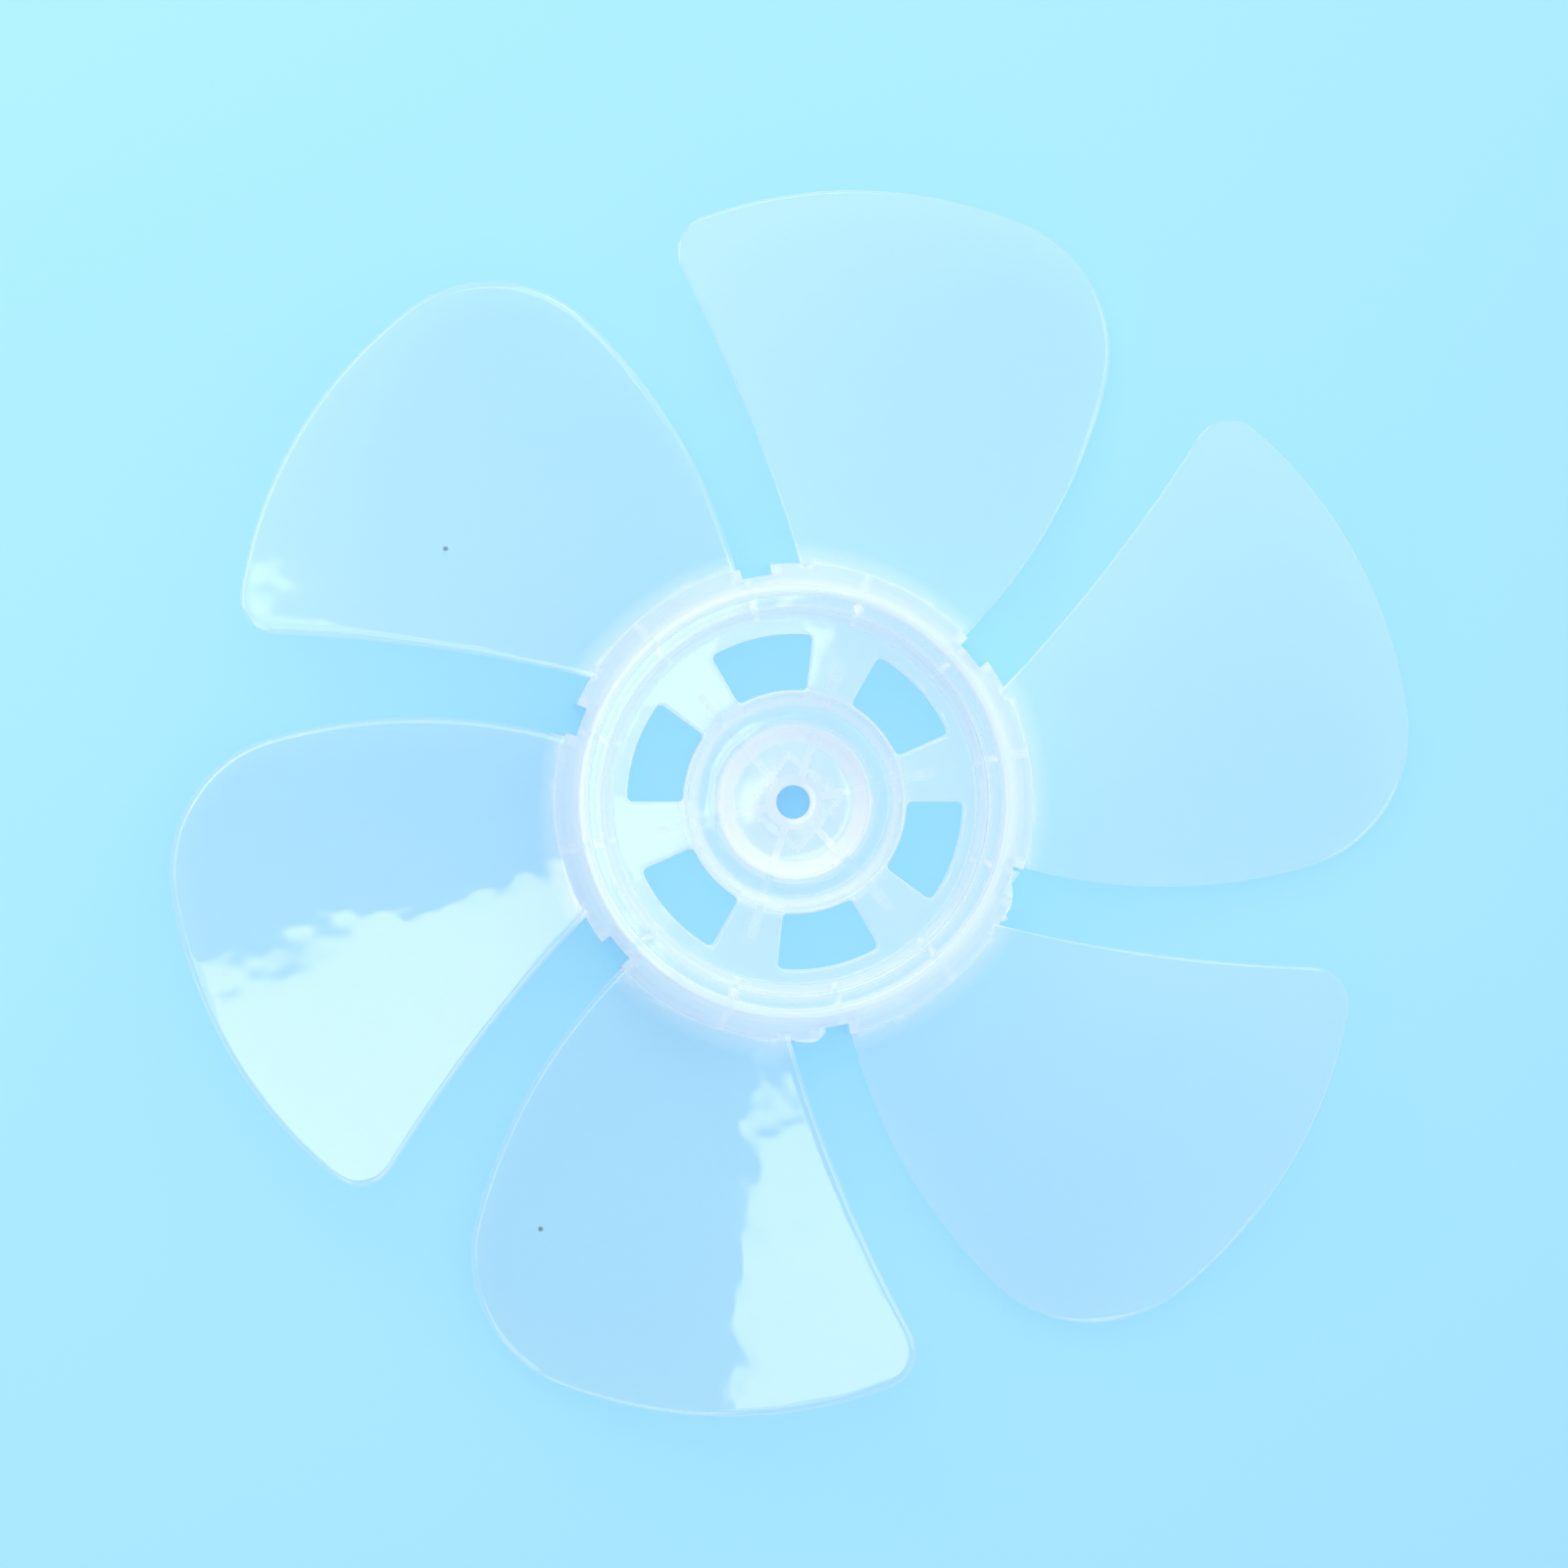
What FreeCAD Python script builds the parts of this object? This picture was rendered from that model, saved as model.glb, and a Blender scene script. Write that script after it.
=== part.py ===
import FreeCAD, Part
import os
import Sketcher

# Fan blade of a 12 inch pedestal fan: one moulding of a stepped, hollow hub and six pitched blades.
# It lies on its back rim, front upwards: Z is the shaft's axis, and X runs out along a spoke and a blade.
doc = FreeCAD.newDocument("fan_blade")

SIZES = {
    # Bore, tube and the cup that the spinner nut sinks into
    "bore_radius": 4.0,
    "bore_chamfer": 0.4,
    "tube_wall": 2.4,
    "tube_end": 1.0,
    "pin_slot_width": 2.8,
    "pin_slot_depth": 5.0,
    "floor_height": 14.0,
    "floor_radius": 14.2,
    "cup_depth": 8.0,
    "cup_draft": 3.4,
    # Steps of the hub's front, from the cup out to the rim and down the skirt
    "wall": 2.0,
    "annulus_width": 5.0,
    "disc_step": 5.0,
    "disc_draft": 2.7,
    "disc_width": 17.7,
    "ring_step": 5.0,
    "ring_draft": 2.0,
    "ring_width": 3.5,
    "lip_width": 2.3,
    "lip_height": 2.0,
    "lip_drop": 1.2,
    "lip_chamfer": 0.7,
    "shoulder_width": 5.1,
    "shoulder_fall": 4.8,
    "skirt_draft": 1.9,
    # Windows between the spokes
    "window_inner_margin": 1.0,
    "window_outer_margin": 3.6,
    "window_angle": 36.0,
    "window_corner": 1.3,
    # Ribs, gussets and the square collar on the back
    "rib_thickness": 1.8,
    "rib_foot_height": 4.0,
    "rib_knee_radius": 20.0,
    "rib_knee_height": 9.0,
    "rib_end_radius": 34.5,
    "gusset_thickness": 1.6,
    "gusset_foot_height": 20.0,
    "collar_half_width": 8.6,
    "collar_wall": 1.3,
    "collar_end": 4.0,
    "collar_turn": -6.0,
    # Notches of the skirt, where the mould's front half reaches down beside each leading edge
    "notch_middle": 27.7,
    "notch_angle": 7.4,
    "notch_side_angle": 2.0,
    "notch_head_depth": 2.6,
    "notch_foot_depth": 2.8,
    # Marks where the plastic was let into the mould
    "gate_radius": 1.3,
    "gate_inset": 2.0,
    "gate_height": 0.5,
    # Flash that the worn mould left along the shoulder's edge
    "flash_thickness": 0.6,
    # Outline of a blade seen along the shaft: four sharp corners, the bows between them and two round corners
    "lead_root_out": 44.0,
    "lead_root_side": 23.2,
    "lead_tip_out": 144.9,
    "lead_tip_side": 36.8,
    "trail_root_out": 47.0,
    "trail_root_side": 11.8,
    "trail_tip_out": 115.0,
    "trail_tip_side": 70.0,
    "lead_bow": 10.2,
    "tip_bow": 16.0,
    "trail_bow": 2.9,
    "lead_corner": 32.0,
    "trail_corner": 9.0,
    # Sheet of a blade: bent to one radius, with a lift and a pitch of its own at each station
    "blade_thickness": 1.6,
    "blade_bend": 400.0,
    "blade_sweep": 11.5,
    "root_place": 46.0,
    "root_lift": 24.0,
    "root_pitch": 16.5,
    "inner_place": 75.0,
    "inner_lift": 18.8,
    "inner_pitch": 15.8,
    "middle_place": 100.0,
    "middle_lift": 15.3,
    "middle_pitch": 15.5,
    "outer_place": 125.0,
    "outer_lift": 12.7,
    "outer_pitch": 15.2,
    "end_place": 152.0,
    "end_lift": 10.8,
    "end_pitch": 15.0,
}
BLADES = 6
GUSSETS = 12
# Gaps where flash was left: its edge as angles from the spoke and reaches past the shoulder
FLASH = {
    4: [(18.0, 0.2), (20.0, 0.5), (22.4, 0.7), (23.6, 0.2), (24.6, -0.6), (25.6, -1.5)],
    5: [(18.0, 0.3), (19.0, 1.2), (19.8, 0.2), (21.6, 0.5), (24.0, 0.0), (27.4, -1.5), (30.6, -0.5)],
}

dims = doc.addObject("Spreadsheet::Sheet", "dims")
for row, (alias, size) in enumerate(SIZES.items(), start=1):
    dims.set(f"A{row}", alias)
    dims.set(f"B{row}", str(size))
    dims.setAlias(f"B{row}", alias)
doc.recompute()

# Radii and heights that add up from the steps
tube_radius = "(dims.bore_radius + dims.tube_wall)"
cup_radius = "(dims.floor_radius + dims.cup_draft)"
annulus_radius = f"({cup_radius} + dims.annulus_width)"
disc_inner_radius = f"({annulus_radius} + dims.disc_draft)"
disc_outer_radius = f"({disc_inner_radius} + dims.disc_width)"
ring_inner_radius = f"({disc_outer_radius} + dims.ring_draft)"
lip_inner_radius = f"({ring_inner_radius} + dims.ring_width)"
lip_outer_radius = f"({lip_inner_radius} + dims.lip_width)"
shoulder_radius = f"({lip_outer_radius} + dims.shoulder_width)"
skirt_radius = f"({shoulder_radius} + dims.skirt_draft)"
window_inner_radius = f"({disc_inner_radius} + dims.window_inner_margin)"
window_outer_radius = f"({disc_outer_radius} - dims.window_outer_margin)"
notch_head_radius = f"({shoulder_radius} - dims.notch_head_depth)"
notch_foot_radius = f"({skirt_radius} - dims.notch_foot_depth)"
gate_place = f"({ring_inner_radius} + dims.gate_inset)"
annulus_height = "(dims.floor_height + dims.cup_depth)"
disc_height = f"({annulus_height} + dims.disc_step)"
ring_height = f"({disc_height} + dims.ring_step)"
rim_height = f"({ring_height} + dims.lip_height)"
shoulder_height = f"({rim_height} - dims.lip_drop - dims.shoulder_fall)"


def origin_part(body, role):
    """The body's own origin plane or axis with the given role."""
    return next(part for part in body.Origin.OriginFeatures if part.Role == role)


def new_sketch(body, role, name, lift="0", turn="0"):
    """A sketch on an origin plane, lifted along the plane's normal and turned about the shaft's axis."""
    sketch = body.newObject("Sketcher::SketchObject", name)
    sketch.AttachmentSupport = [(origin_part(body, role), "")]
    sketch.MapMode = "FlatFace"
    up = FreeCAD.Vector(0, 0, 1) if role == "XY_Plane" else FreeCAD.Vector(0, 1, 0)
    angle = sketch.evalExpression(turn)
    sketch.AttachmentOffset = FreeCAD.Placement(FreeCAD.Vector(), FreeCAD.Rotation(up, angle))
    sketch.setExpression("AttachmentOffset.Base.z", lift)
    if turn != "0":
        sketch.setExpression("AttachmentOffset.Rotation.Angle", turn)
    return sketch


def bind(sketch, kind, places, size):
    """A constraint whose size follows an expression on the sheet."""
    value = FreeCAD.Units.Quantity(sketch.evalExpression(size))
    index = sketch.addConstraint(Sketcher.Constraint(kind, *places, value))
    sketch.setExpression(f"Constraints[{index}]", size)


def pin(sketch, line, end, across, up):
    """Holds one end of a line or an arc at a place given by two expressions."""
    bind(sketch, "DistanceX", (-1, 1, line, end), across)
    bind(sketch, "DistanceY", (-1, 1, line, end), up)


def place(holder, corner):
    """The point that a pair of expressions stands for."""
    across, up = corner
    return FreeCAD.Vector(holder.evalExpression(across), holder.evalExpression(up), 0)


def outline(sketch, corners, bends=None):
    """A closed outline, drawn anticlockwise; each corner is a pair of expressions.
    A side is straight unless bends gives it a radius, with 1 to bow it outwards or -1 inwards."""
    bends = bends or {}
    points = [place(sketch, corner) for corner in corners]
    starts, finishes = [], []
    for side, (start, finish) in enumerate(zip(points, points[1:] + points[:1])):
        radius, way = bends.get(side, (None, 1))
        if radius is None:
            line = sketch.addGeometry(Part.LineSegment(start, finish))
        else:
            chord = finish - start
            size = sketch.evalExpression(radius)
            bow = size - (size**2 - chord.Length**2 / 4) ** 0.5
            outwards = FreeCAD.Vector(chord.y, -chord.x, 0).normalize() * way
            middle = (start + finish) * 0.5 + outwards * bow
            ends = (start, middle, finish) if way > 0 else (finish, middle, start)
            line = sketch.addGeometry(Part.Arc(*ends))
            bind(sketch, "Radius", (line,), radius)
        starts.append((line, 1 if way > 0 else 2))
        finishes.append((line, 2 if way > 0 else 1))
    for side, corner in enumerate(corners):
        sketch.addConstraint(Sketcher.Constraint("Coincident", *finishes[side - 1], *starts[side]))
        pin(sketch, *starts[side], *corner)


def polar(radius, angle):
    """The pair of expressions for a point at a radius and an angle."""
    return (f"({radius}) * cos({angle})", f"({radius}) * sin({angle})")


def bow_radius(start, finish, bow):
    """The radius of an arc between two corners that stands off its chord by the bow."""
    squared = f"(({finish[0]}) - ({start[0]}))^2 + (({finish[1]}) - ({start[1]}))^2"
    return f"({squared}) / (8 * {bow}) + {bow} / 2"


def feature(body, kind, name, sketch, **settings):
    """A sketch based feature of a body."""
    made = body.newObject(f"PartDesign::{kind}", name)
    made.Profile = sketch
    for setting, value in settings.items():
        setattr(made, setting, value)
    sketch.Visibility = False
    return made


def around(body, name, originals, count):
    """Equal copies of features around the shaft's axis."""
    pattern = body.newObject("PartDesign::PolarPattern", name)
    pattern.Originals = originals
    pattern.Axis = (origin_part(body, "Z_Axis"), [""])
    pattern.Angle = 360
    pattern.Occurrences = count
    body.Tip = pattern
    doc.recompute()
    return pattern


def ring_edges(shape, rings):
    """Names of the round edges about the shaft's axis at the radii and heights that the expressions give."""
    found = []
    places = [place(dims, ring) for ring in rings]
    for number, edge in enumerate(shape.Edges, start=1):
        if not isinstance(edge.Curve, Part.Circle):
            continue
        here = FreeCAD.Vector(edge.Curve.Radius, edge.Curve.Center.z, 0)
        if any((here - there).Length < 0.001 for there in places):
            found.append(f"Edge{number}")
    return found


def upright_edges(shape, radii):
    """Names of the straight edges along the shaft's axis that stand at one of the given radii."""
    found = []
    for number, edge in enumerate(shape.Edges, start=1):
        if not isinstance(edge.Curve, Part.Line) or abs(edge.Curve.Direction.z) < 0.999:
            continue
        foot = edge.Vertexes[0].Point
        if any(abs((foot.x**2 + foot.y**2) ** 0.5 - radius) < 0.01 for radius in radii):
            found.append(f"Edge{number}")
    return found


def rounded(body, name, base, edges, radius):
    """A fillet of one size over the named edges."""
    fillet = body.newObject("PartDesign::Fillet", name)
    fillet.Base = (base, edges)
    fillet.setExpression("Radius", radius)
    body.Tip = fillet
    doc.recompute()
    return fillet


def bevelled(body, name, base, edges, size):
    """A chamfer of one size over the named edges."""
    chamfer = body.newObject("PartDesign::Chamfer", name)
    chamfer.Base = (base, edges)
    chamfer.setExpression("Size", size)
    body.Tip = chamfer
    doc.recompute()
    return chamfer


# Hub: a dish turned in steps down to the cup, with the skirt outside it and the bore tube in the middle
hub = doc.addObject("PartDesign::Body", "hub")
hub_profile = new_sketch(hub, "XZ_Plane", "hub_profile", turn="dims.notch_middle - dims.notch_angle")
outline(
    hub_profile,
    [
        ("dims.bore_radius", "dims.floor_height"),
        ("dims.floor_radius", "dims.floor_height"),
        (cup_radius, annulus_height),
        (annulus_radius, annulus_height),
        (disc_inner_radius, disc_height),
        (disc_outer_radius, disc_height),
        (ring_inner_radius, ring_height),
        (lip_inner_radius, ring_height),
        (lip_inner_radius, rim_height),
        (lip_outer_radius, rim_height),
        (lip_outer_radius, f"{rim_height} - dims.lip_drop"),
        (shoulder_radius, shoulder_height),
        (skirt_radius, "0"),
        (f"{skirt_radius} - dims.wall", "0"),
        (f"{shoulder_radius} - dims.wall", f"{shoulder_height} - dims.wall * 0.4"),
        (lip_outer_radius, f"{ring_height} - dims.wall"),
        (f"{ring_inner_radius} + dims.wall * 0.8", f"{ring_height} - dims.wall"),
        (f"{disc_outer_radius} + dims.wall * 0.8", f"{disc_height} - dims.wall"),
        (f"{disc_inner_radius} + dims.wall * 0.8", f"{disc_height} - dims.wall"),
        (f"{annulus_radius} + dims.wall * 0.8", f"{annulus_height} - dims.wall"),
        (f"{cup_radius} + dims.wall", f"{annulus_height} - dims.wall"),
        ("dims.floor_radius + dims.wall", "dims.floor_height - dims.wall"),
        (tube_radius, "dims.floor_height - dims.wall"),
        (tube_radius, "dims.tube_end"),
        ("dims.bore_radius", "dims.tube_end"),
    ],
)
dish = feature(hub, "Revolution", "dish", hub_profile, ReferenceAxis=(hub_profile, ["V_Axis"]), Angle=360)
doc.recompute()
lip_edges = ring_edges(dish.Shape, [(lip_inner_radius, rim_height), (lip_outer_radius, rim_height)])
lip = bevelled(hub, "lip", dish, lip_edges, "dims.lip_chamfer")
bore_edge = ring_edges(lip.Shape, [("dims.bore_radius", "dims.floor_height")])
bevelled(hub, "bore_mouth", lip, bore_edge, "dims.bore_chamfer")

# Windows: six openings in the disc, with a spoke between each two
window_outline = new_sketch(hub, "XY_Plane", "window_outline", lift=rim_height)
corner, near, far = "dims.window_corner", window_inner_radius, window_outer_radius
first_side = f"(180 / {BLADES} - dims.window_angle / 2)"
last_side = f"(180 / {BLADES} + dims.window_angle / 2)"
near_turn = f"asin({corner} / ({near} + {corner})) / (1 deg)"
far_turn = f"asin({corner} / ({far} - {corner})) / (1 deg)"
near_reach = f"sqrt(({near} + {corner})^2 - {corner}^2)"
far_reach = f"sqrt(({far} - {corner})^2 - {corner}^2)"
outline(
    window_outline,
    [
        polar(near_reach, first_side),
        polar(far_reach, first_side),
        polar(far, f"{first_side} + {far_turn}"),
        polar(far, f"{last_side} - {far_turn}"),
        polar(far_reach, last_side),
        polar(near_reach, last_side),
        polar(near, f"{last_side} - {near_turn}"),
        polar(near, f"{first_side} + {near_turn}"),
    ],
    {1: (corner, 1), 2: (far, 1), 3: (corner, 1), 5: (corner, 1), 6: (near, -1), 7: (corner, 1)},
)
window = feature(hub, "Pocket", "window", window_outline, Type="Length")
window.setExpression("Length", f"{rim_height} - {annulus_height} + dims.wall")
doc.recompute()
around(hub, "windows", [window], BLADES)

# Ribs: six on the back, from the bore tube out along the spokes, and twelve gussets under the ring
rib_outline = new_sketch(hub, "XZ_Plane", "rib_outline")
tube_middle = f"(dims.bore_radius + {tube_radius}) / 2"
outline(
    rib_outline,
    [
        (tube_middle, "dims.rib_foot_height"),
        ("dims.rib_knee_radius", "dims.rib_knee_height"),
        ("dims.rib_end_radius", f"{disc_height} - dims.wall / 2"),
        (f"{disc_inner_radius} + dims.wall * 0.4", f"{disc_height} - dims.wall / 2"),
        (f"{annulus_radius} + dims.wall * 0.4", f"{annulus_height} - dims.wall / 2"),
        (f"{cup_radius} + dims.wall / 2", f"{annulus_height} - dims.wall / 2"),
        ("dims.floor_radius + dims.wall / 2", "dims.floor_height - dims.wall / 2"),
        (tube_middle, "dims.floor_height - dims.wall / 2"),
    ],
)
rib = feature(hub, "Pad", "rib", rib_outline, Midplane=True)
rib.setExpression("Length", "dims.rib_thickness")
doc.recompute()
around(hub, "ribs", [rib], BLADES)

gusset_outline = new_sketch(hub, "XZ_Plane", "gusset_outline")
outline(
    gusset_outline,
    [
        (f"{disc_outer_radius} + dims.wall * 0.4", f"{disc_height} - dims.wall / 2"),
        (f"{ring_inner_radius} + dims.wall * 0.4", f"{ring_height} - dims.wall / 2"),
        (lip_outer_radius, f"{ring_height} - dims.wall / 2"),
        (f"{shoulder_radius} - dims.wall / 2", f"{shoulder_height} - dims.wall * 0.2"),
        (f"{shoulder_radius} - dims.wall / 2", "dims.gusset_foot_height"),
    ],
)
gusset = feature(hub, "Pad", "gusset", gusset_outline, Midplane=True)
gusset.setExpression("Length", "dims.gusset_thickness")
doc.recompute()
around(hub, "gussets", [gusset], GUSSETS)

# Square collar: a thin wall round the bore tube, under the cup's floor
collar_outline = new_sketch(hub, "XY_Plane", "collar_outline", lift="dims.collar_end")
for half_width in ("dims.collar_half_width", "(dims.collar_half_width - dims.collar_wall)"):
    turns = [f"(dims.collar_turn + {quarter} * 90)" for quarter in range(4)]
    outline(collar_outline, [polar(f"{half_width} * sqrt(2)", turn) for turn in turns])
collar = feature(hub, "Pad", "collar", collar_outline)
collar.setExpression("Length", "dims.floor_height - dims.wall / 2 - dims.collar_end")
doc.recompute()

# Pin slot: across the back end of the bore tube, for the pin that drives it
slot_outline = new_sketch(hub, "XY_Plane", "slot_outline", lift="dims.tube_end")
outline(
    slot_outline,
    [
        ("-dims.pin_slot_width / 2", f"-{tube_radius} - dims.wall / 4"),
        ("dims.pin_slot_width / 2", f"-{tube_radius} - dims.wall / 4"),
        ("dims.pin_slot_width / 2", f"{tube_radius} + dims.wall / 4"),
        ("-dims.pin_slot_width / 2", f"{tube_radius} + dims.wall / 4"),
    ],
)
pin_slot = feature(hub, "Pocket", "pin_slot", slot_outline, Type="Length", Reversed=True)
pin_slot.setExpression("Length", "dims.pin_slot_depth")
doc.recompute()

# Notches: the skirt steps inwards between each trailing edge and the next leading edge
recess_outline = new_sketch(hub, "XZ_Plane", "recess_outline", turn="dims.notch_middle")
outline(
    recess_outline,
    [
        (f"{notch_foot_radius} - dims.wall", "0"),
        (f"{skirt_radius} - dims.wall / 2", "0"),
        (f"{shoulder_radius} - dims.wall / 2", f"{shoulder_height} - dims.wall * 0.2"),
        (lip_outer_radius, f"{ring_height} - dims.wall / 2"),
        (f"{notch_head_radius} - dims.wall", shoulder_height),
    ],
)
recess_axis = (recess_outline, ["V_Axis"])
recess = feature(hub, "Revolution", "recess", recess_outline, ReferenceAxis=recess_axis, Midplane=True)
recess.setExpression("Angle", "dims.notch_angle + 2 * dims.notch_side_angle")
doc.recompute()
around(hub, "recesses", [recess], BLADES)

notch_outline = new_sketch(hub, "XZ_Plane", "notch_outline", turn="dims.notch_middle")
outline(
    notch_outline,
    [
        (notch_foot_radius, "-dims.wall"),
        (f"{skirt_radius} + dims.wall", "-dims.wall"),
        (f"{skirt_radius} + dims.wall", rim_height),
        (notch_head_radius, rim_height),
        (notch_head_radius, shoulder_height),
    ],
)
notch_axis = (notch_outline, ["V_Axis"])
notch = feature(hub, "Groove", "notch", notch_outline, ReferenceAxis=notch_axis, Midplane=True)
notch.setExpression("Angle", "dims.notch_angle")
doc.recompute()
around(hub, "notches", [notch], BLADES)

# Flash: thin ragged fins that stand out of the shoulder's edge and reach into the notch beside it
for gap, edge in FLASH.items():
    gap_turn = f"{gap} * 360 / {BLADES}"
    fin_outline = new_sketch(hub, "XY_Plane", f"fin_outline_{gap}", shoulder_height, gap_turn)
    first_angle, last_angle = edge[0][0], edge[-1][0]
    notch_start = "dims.notch_middle - dims.notch_angle / 2"
    outline(
        fin_outline,
        [polar(f"{shoulder_radius} + ({reach})", angle) for angle, reach in edge]
        + [
            polar(f"{notch_head_radius} - dims.wall / 2", last_angle),
            polar(f"{notch_head_radius} - dims.wall / 2", notch_start),
            polar(f"{shoulder_radius} - dims.wall * 0.75", notch_start),
            polar(f"{shoulder_radius} - dims.wall * 0.75", first_angle),
        ],
    )
    fin = feature(hub, "Pad", f"fin_{gap}", fin_outline, Reversed=True)
    fin.setExpression("Length", "dims.flash_thickness")
    doc.recompute()

# Gate marks: two low round stubs on the ring, opposite each other
gate_outline = new_sketch(hub, "XY_Plane", "gate_outline", lift=f"{ring_height} - dims.wall / 2")
for side in (gate_place, f"-{gate_place}"):
    middle = (f"{side} * cos(60)", f"{side} * sin(60)")
    circle = Part.Circle(place(gate_outline, middle), FreeCAD.Vector(0, 0, 1), SIZES["gate_radius"])
    stub = gate_outline.addGeometry(circle)
    pin(gate_outline, stub, 3, *middle)
    bind(gate_outline, "Radius", (stub,), "dims.gate_radius")
gates = feature(hub, "Pad", "gates", gate_outline)
gates.setExpression("Length", "dims.gate_height + dims.wall / 2")
hub.Tip = gates
doc.recompute()

# Blade sheet: a thin sheet with a round bend, lofted out through five stations that each have lift and pitch
sheet = doc.addObject("PartDesign::Body", "blade_sheet")
stations = []
for name in ("root", "inner", "middle", "outer", "end"):
    station = new_sketch(sheet, "YZ_Plane", f"{name}_station", lift=f"dims.{name}_place")
    pitch = f"dims.{name}_pitch"
    centre = (f"-dims.blade_bend * sin({pitch})", f"dims.{name}_lift + dims.blade_bend * cos({pitch})")
    below, above = "dims.blade_bend", "(dims.blade_bend - dims.blade_thickness)"
    lead, trail = f"({pitch} - dims.blade_sweep)", f"({pitch} + dims.blade_sweep)"
    outline(
        station,
        [
            (f"{centre[0]} + {radius} * sin({turn})", f"{centre[1]} - {radius} * cos({turn})")
            for radius, turn in ((below, lead), (below, trail), (above, trail), (above, lead))
        ],
        {0: (below, 1), 2: (above, -1)},
    )
    stations.append(station)
doc.recompute()
twisted = feature(sheet, "AdditiveLoft", "twisted", stations[0], Sections=stations[1:])
doc.recompute()

# Blades: the outline cuts a blade from the sheet, the hub's wall trims its root, and six stand around the hub
blades = doc.addObject("PartDesign::Body", "blades")
blades.AllowCompound = True
blade_outline = new_sketch(blades, "XY_Plane", "blade_outline")
lead_root = ("dims.lead_root_out", "-dims.lead_root_side")
lead_tip = ("dims.lead_tip_out", "-dims.lead_tip_side")
trail_tip = ("dims.trail_tip_out", "dims.trail_tip_side")
trail_root = ("dims.trail_root_out", "dims.trail_root_side")
outline(
    blade_outline,
    [lead_root, lead_tip, trail_tip, trail_root],
    {
        0: (bow_radius(lead_root, lead_tip, "dims.lead_bow"), 1),
        1: (bow_radius(lead_tip, trail_tip, "dims.tip_bow"), 1),
        2: (bow_radius(trail_tip, trail_root, "dims.trail_bow"), -1),
    },
)
blank = feature(blades, "Pad", "blank", blade_outline, Midplane=True)
blank.setExpression("Length", f"4 * {rim_height}")
doc.recompute()
tip_radii = {
    "lead": (SIZES["lead_tip_out"] ** 2 + SIZES["lead_tip_side"] ** 2) ** 0.5,
    "trail": (SIZES["trail_tip_out"] ** 2 + SIZES["trail_tip_side"] ** 2) ** 0.5,
}
lead_edges = upright_edges(blank.Shape, [tip_radii["lead"]])
lead_rounded = rounded(blades, "lead_rounded", blank, lead_edges, "dims.lead_corner")
trail_edges = upright_edges(lead_rounded.Shape, [tip_radii["trail"]])
rounded(blades, "trail_rounded", lead_rounded, trail_edges, "dims.trail_corner")
trimmed = blades.newObject("PartDesign::Boolean", "trimmed")
trimmed.Type = "Common"
trimmed.setObjects([sheet])
blades.Tip = trimmed
doc.recompute()

root_profile = new_sketch(blades, "XZ_Plane", "root_profile")
outline(
    root_profile,
    [
        ("0", f"-{rim_height}"),
        (f"{skirt_radius} - dims.wall / 2", f"-{rim_height}"),
        (f"{skirt_radius} - dims.wall / 2", "0"),
        (f"{shoulder_radius} - dims.wall / 2", f"{shoulder_height} - dims.wall * 0.2"),
        (f"{lip_outer_radius} - dims.wall / 2", ring_height),
        (f"{lip_outer_radius} - dims.wall / 2", f"2 * {rim_height}"),
        ("0", f"2 * {rim_height}"),
    ],
)
feature(blades, "Groove", "root_trim", root_profile, ReferenceAxis=(root_profile, ["V_Axis"]), Angle=360)
doc.recompute()
blade_ring = around(blades, "blade_ring", [], BLADES)
blade_ring.TransformMode = "Whole shape"
doc.recompute()

# The moulding: hub and blades in one solid
fan_blade = doc.addObject("Part::Fuse", "fan_blade")
fan_blade.Base = hub
fan_blade.Tool = blades
fan_blade.Label = "fan_blade"
doc.recompute()

for made in doc.Objects:
    if {"Invalid", "Error"} & set(made.State):
        raise RuntimeError(f"{made.Label} failed: {made.State}")
if fan_blade.Shape.isNull() or not fan_blade.Shape.isValid() or len(fan_blade.Shape.Solids) != 1:
    raise RuntimeError("the moulding is not one valid solid")
os.makedirs("parts", exist_ok=True)
fan_blade.Shape.exportStep(f"parts/{fan_blade.Label}.step")
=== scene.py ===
import math

import bpy
import numpy as np
from mathutils import Matrix, Vector
from mathutils.bvhtree import BVHTree


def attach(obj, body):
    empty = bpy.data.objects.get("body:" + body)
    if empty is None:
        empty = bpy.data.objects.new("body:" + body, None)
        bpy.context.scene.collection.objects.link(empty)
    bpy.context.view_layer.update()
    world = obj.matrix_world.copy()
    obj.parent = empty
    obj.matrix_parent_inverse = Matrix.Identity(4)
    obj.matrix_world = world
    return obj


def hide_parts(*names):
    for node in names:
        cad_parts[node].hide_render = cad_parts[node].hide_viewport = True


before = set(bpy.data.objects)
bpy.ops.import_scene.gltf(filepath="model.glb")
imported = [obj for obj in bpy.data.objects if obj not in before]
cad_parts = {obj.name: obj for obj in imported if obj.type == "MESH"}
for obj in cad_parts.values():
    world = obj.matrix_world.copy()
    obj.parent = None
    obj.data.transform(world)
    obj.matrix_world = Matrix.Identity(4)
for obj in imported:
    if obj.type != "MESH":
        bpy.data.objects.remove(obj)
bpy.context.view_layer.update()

# Hub: a dish turned in steps, deepest in the middle where the nut sits, with a tall drafted skirt outside.
# It is moulded in milky see-through polypropylene with 2 mm walls, so every step has softly rounded edges.
mm = 0.001
bore_radius = 4.0
tube_radius = 6.4
tube_end = 1.0
floor_radius, floor_height = 14.2, 14.0
cup_radius, annulus_height = 17.6, 22.0
annulus_radius = 22.6
disc_inner_radius, disc_height = 25.3, 27.0
disc_outer_radius = 43.0
ring_inner_radius, ring_height = 45.0, 32.0
lip_inner_radius, lip_outer_radius, rim_height = 48.5, 50.8, 34.0
lip_drop = 1.2
shoulder_radius, shoulder_height = 55.9, 28.0
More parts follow.
